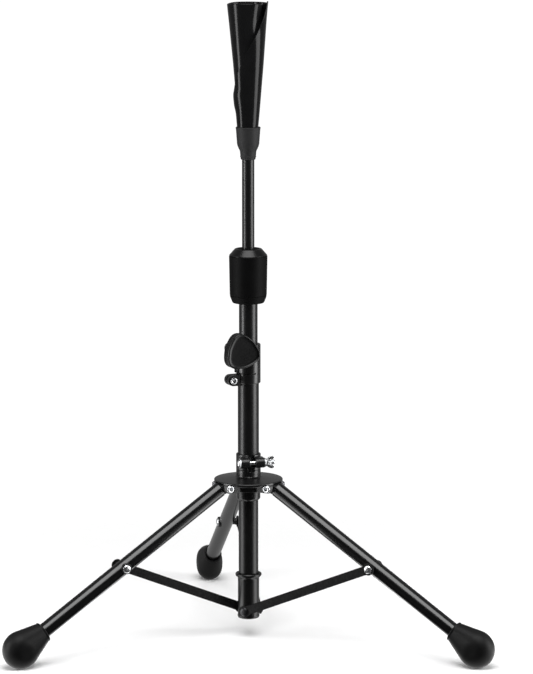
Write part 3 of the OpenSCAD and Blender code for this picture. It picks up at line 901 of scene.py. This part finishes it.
def leg_rivet(leg):
    """The rivet that holds the brace, its bush and its saddle washer."""
    node = f"brace_rivet_{leg.side}"
    cross = place_of(leg.pin, leg.across, leg.along)
    back = place_of(leg.pin, -leg.across, leg.along)
    lo, hi = extent(node, cross)
    bm = bmesh.new()
    for spot, top in ((cross, hi.z), (back, -lo.z)):
        lathe(bm, [(0, top - 3.0), (2.6, top - 3.0), (2.6, top - 2.4), (5.5, top - 2.4, 0.15),
                   (5.5, top - 1.6, 0.5), (4.3, top - 0.45, 0.9), (2.0, top, 1.2), (0, top)],
              spot, 56)
    lathe(bm, [(0, lo.z + 2), (2.45, lo.z + 2), (2.45, hi.z - 2), (0, hi.z - 2)], cross, 32)
    piece(f"rivet_{leg.side}", mesh_from(bm, node), f"leg_{leg.side}", "bright_zinc", node)
    node = f"brace_spacer_{leg.side}"
    lo = extent(node, cross)[0]
    bm = bmesh.new()
    lathe(bm, [(0, -7), (4.2, -7), (4.2, -12.4, 0.4), (4.9, -13.0, 0.4), (4.9, lo.z, 0.4),
               (0, lo.z)], cross, 48)
    piece(f"bush_{leg.side}", mesh_from(bm, node), f"leg_{leg.side}", "black_plastic", node)
    node = f"rivet_washer_{leg.side}"
    bm = cad_shape(node)
    piece(f"saddle_{leg.side}", fused(bm, node, 0.22, 3), f"leg_{leg.side}",
          "black_plastic", node)


def leg_tongue(leg):
    """The moulded tongue that joins the tube to the pivot bolt."""
    node = f"leg_insert_{leg.side}"
    piece(f"tongue_{leg.side}", fused(cad_shape(node), node, 0.4, 3), f"leg_{leg.side}",
          "black_plastic", node)


def brace_bar(leg):
    """A flat bar with round eyes at both ends and softened edges."""
    node = f"brace_{leg.side}"
    lo, hi = extent(node, leg.brace)
    eye = -lo.x
    half = 6.0
    edge = 0.35
    length = leg.length
    reach = math.sqrt(eye * eye - half * half)
    stations = []
    for end, s in ((0.0, -1), (length, 1)):
        part = []
        for k in range(25):
            a = math.radians(2 + (180 - math.degrees(math.asin(half / eye)) - 2) * k / 24)
            part.append((end + s * eye * math.cos(a), eye * math.sin(a)))
        stations.append(part)
    neck = [(reach + 1.2, half + 0.18), (reach + 3.0, half + 0.04), (reach + 6, half)]
    line = stations[0] + neck
    line += [(length * k / 12, half) for k in range(2, 11)]
    line += [(length - x, w) for x, w in neck[::-1]] + stations[1][::-1]

    def section(x, w):
        w2 = max(w - edge, 0.02)
        a, b = lo.z + edge, hi.z - edge
        pts = [(w, a), (w, b), (w2, hi.z), (-w2, hi.z), (-w, b), (-w, a), (-w2, lo.z),
               (w2, lo.z)]
        return [leg.brace @ Vector((x, y, z)) for y, z in pts]

    rings = [section(x, w) for x, w in line]
    mid = (lo.z + hi.z) / 2
    rings = [[leg.brace @ Vector((-eye, 0, mid))]] + rings \
        + [[leg.brace @ Vector((length + eye, 0, mid))]]
    bm = bmesh.new()
    skin(bm, rings)
    piece(f"brace_bar_{leg.side}", mesh_from(bm, node, sharp=30), f"brace_{leg.side}",
          "brace_matte", node)
    node = f"base_rivet_{leg.side}"
    lo, hi = extent(node, leg.brace)
    back = place_of(leg.base, -leg.across, leg.pin - leg.base)
    end, inner = -lo.z, -hi.z
    bm = bmesh.new()
    lathe(bm, [(0, inner), (2.45, inner, 0.2), (2.45, end - 2.6), (6.0, end - 2.6, 0.2),
               (6.0, end - 1.6, 0.5), (4.6, end - 0.4, 0.9), (2.2, end, 1.2), (0, end)],
          back, 56)
    piece(f"brace_pin_{leg.side}", mesh_from(bm, node), f"brace_{leg.side}", "black_steel", node)


for leg in LEGS.values():
    tube_piece(f"leg_pipe_{leg.side}", f"leg_tube_{leg.side}", f"leg_{leg.side}",
               "leg_enamel", leg.tube, edge=0.4)
    foot(leg)
    leg_rivet(leg)
    leg_tongue(leg)
    brace_bar(leg)

for node, slot in (("inner_tube_guide", "bearing_plastic"),
                   ("collar_collet", "bearing_plastic"),
                   ("rod_guide", "bearing_plastic"),
                   ("cone_plug", "plug_wood")):
    repaint(node, slot)


# ---------------------------------------------------------------- floor, lights, camera

def light_sky(front, back, seen):
    """A plain white surround for the eye; what it sheds on the object grows from front to
    back."""
    world = bpy.data.worlds.new("surround")
    bpy.context.scene.world = world
    world.use_nodes = True
    tree = world.node_tree
    tree.nodes.clear()

    def add(kind):
        return tree.nodes.new(kind)

    dim, bright, path = (add("ShaderNodeBackground"), add("ShaderNodeBackground"),
                         add("ShaderNodeLightPath"))
    for node in (dim, bright):
        node.inputs["Color"].default_value = (1, 1, 1, 1)
    bright.inputs["Strength"].default_value = seen
    coords, split, span = (add("ShaderNodeTexCoord"), add("ShaderNodeSeparateXYZ"),
                           add("ShaderNodeMapRange"))
    for key, value in (("From Min", -0.6), ("From Max", 0.9), ("To Min", front),
                       ("To Max", back)):
        span.inputs[key].default_value = value
    mix, out = add("ShaderNodeMixShader"), add("ShaderNodeOutputWorld")
    for source, target in ((coords.outputs["Generated"], split.inputs[0]),
                           (split.outputs["Y"], span.inputs["Value"]),
                           (span.outputs["Result"], dim.inputs["Strength"]),
                           (path.outputs["Is Camera Ray"], mix.inputs["Fac"]),
                           (dim.outputs[0], mix.inputs[1]), (bright.outputs[0], mix.inputs[2]),
                           (mix.outputs[0], out.inputs["Surface"])):
        tree.links.new(source, target)


def softbox(name, azimuth, distance, height, aim, size, watts):
    """A rectangular light; azimuth 0 is in front of the object and 90 to its right."""
    a = math.radians(azimuth)
    data = bpy.data.lights.new(name, "AREA")
    data.shape = "RECTANGLE"
    data.size, data.size_y = size
    data.energy = watts
    obj = bpy.data.objects.new(name, data)
    bpy.context.scene.collection.objects.link(obj)
    obj.location = (distance * math.sin(a), -distance * math.cos(a), height)
    away = Vector(obj.location) - Vector(aim)
    obj.rotation_euler = away.to_track_quat("Z", "Y").to_euler()
    obj.visible_camera = False


def studio_floor(radius, fade, front, beside, rear):
    """A white disc that fades into the surround between the two radii of fade. To the camera it is a
    plain white floor;
    to every other ray it glows instead, as painted light: front, beside and rear are the strength of that
    glow on each side of the object."""
    bm = bmesh.new()
    rings = [[Vector((0, 0, 0))]]
    for k in range(1, 25):
        rings.append(circle_ring(UPRIGHT, radius * k / 24, 0, 64))
    skin(bm, rings)
    mesh = mesh_from(bm, "studio_floor", scale=1.0, sharp=0)
    obj = bpy.data.objects.new("studio_floor", mesh)
    bpy.context.scene.collection.objects.link(obj)
    if obj.data.polygons[0].normal.z < 0:
        mesh.flip_normals()
    m = bpy.data.materials.new("studio_floor")
    m.use_nodes = True
    n = Nodes(m)
    n.shader.inputs["Base Color"].default_value = (0.9, 0.9, 0.9, 1)
    n.shader.inputs["Specular IOR Level"].default_value = 0.1
    speckle = n.noise(90, 3.0)
    n.join(n.span(speckle, 0.3, 0.7, 0.7, 0.9), n.shader.inputs["Roughness"])
    length = n.add("ShaderNodeVectorMath", operation="LENGTH")
    n.join(n.coords, length.inputs[0])
    keep = n.span(length.outputs["Value"], *fade, 1.0, 0.0)
    n.join(keep, n.shader.inputs["Alpha"])
    place = n.add("ShaderNodeSeparateXYZ")
    n.join(n.coords, place.inputs[0])
    across = n.maths("DIVIDE", n.maths("ABSOLUTE", place.outputs["X"], 0.0),
                     length.outputs["Value"])
    behind = n.maths("DIVIDE", place.outputs["Y"], length.outputs["Value"])
    sides = n.maths("MULTIPLY", n.span(across, 0.8, 0.92, 0.0, beside),
                    n.span(behind, 0.0, 0.35, 1.0, 0.0))
    level = n.maths("MAXIMUM", sides, n.span(behind, 0.3, 0.8, front, rear))
    # Painted light: for all but camera rays the floor is an emitter, brightest beside the object, weaker
    # behind, faint in front.
    dim = n.add("ShaderNodeEmission")
    n.join(level, dim.inputs["Strength"])
    mix = n.add("ShaderNodeMixShader")
    n.join(n.add("ShaderNodeLightPath").outputs["Is Camera Ray"], mix.inputs["Fac"])
    n.join(dim.outputs[0], mix.inputs[1])
    n.join(n.shader.outputs[0], mix.inputs[2])
    n.join(mix.outputs[0], n.tree.nodes["Material Output"].inputs["Surface"])
    mesh.materials.append(m)


# The floor's painted glow lights the object from below: 0.05 in front, 4.0 beside, 0.5 behind.
studio_floor(1.25, (0.42, 0.85), front=0.05, beside=4.0, rear=0.5)
light_sky(0.03, 0.3, 1.05)
softbox("side_left", -72, 1.9, 0.5, (0, 0, 0.45), (0.5, 1.9), 36)
softbox("side_right", 76, 1.9, 0.5, (0, 0, 0.45), (1.0, 1.9), 46)
softbox("overhead", 0, 0.95, 2.2, (0, 0, 0.3), (1.8, 1.8), 64)

eye = bpy.data.cameras.new("photo_camera")
camera = bpy.data.objects.new("photo_camera", eye)
bpy.context.scene.collection.objects.link(camera)
camera.location = (-0.0027, -4.452, 1.1216)
camera.rotation_euler = (math.radians(90 - 9.108), 0, math.radians(-0.346))
eye.lens = 181.2
eye.sensor_width = 36
eye.clip_end = 100
bpy.context.scene.camera = camera
bpy.context.scene.view_settings.view_transform = "Standard"
